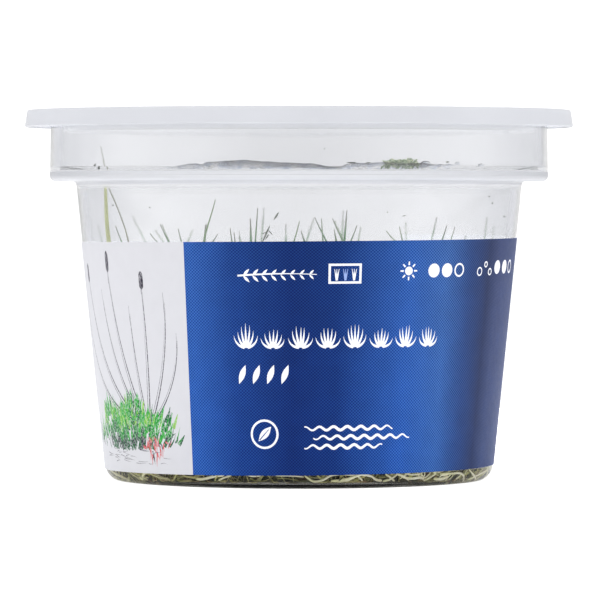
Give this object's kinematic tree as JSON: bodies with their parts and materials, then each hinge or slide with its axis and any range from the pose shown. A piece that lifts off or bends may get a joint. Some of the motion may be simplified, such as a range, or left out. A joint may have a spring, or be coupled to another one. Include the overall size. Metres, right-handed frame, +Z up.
{
  "type": "dwarf hairgrass in a lidded in-vitro cup",
  "caption": "Round clear plastic cup with a wide stepped collar, a snap lid and a wrap label, holding upright tufts of fine dwarf hairgrass rooted in nutrient gel.",
  "frame": {"origin": "centre of the cup's foot, on the surface it stands on", "axes": "+Z up through the lid, the label's front faces -Y, +X to the right of the front"},
  "size_m": [0.1048, 0.1048, 0.0706],
  "materials": {
    "clear_plastic": "clear, slightly milky",
    "label_film": "satin printed film",
    "gel": "wet, translucent",
    "root_mat": "damp",
    "grass": "satin leaf",
    "water": "clear",
    "leaf_scrap": "damp leaf"
  },
  "bodies": {
    "root": {"cup": "clear_plastic", "lid": "clear_plastic", "label": "label_film", "gel": "gel", "root_mat": "root_mat", "ledge_water": "water", "leaf_fragment": "leaf_scrap", "tuft_01": "grass", "tuft_02": "grass", "tuft_03": "grass", "tuft_04": "grass", "tuft_05": "grass", "tuft_06": "grass", "tuft_07": "grass", "tuft_08": "grass", "tuft_09": "grass", "tuft_10": "grass", "tuft_11": "grass", "tuft_12": "grass", "tuft_13": "grass", "tuft_14": "grass", "tuft_15": "grass", "tuft_16": "grass", "tuft_17": "grass", "tuft_18": "grass", "tuft_19": "grass", "tuft_20": "grass", "tuft_21": "grass", "tuft_22": "grass", "tuft_23": "grass", "tuft_long": "grass"}
  },
  "joints": []
}
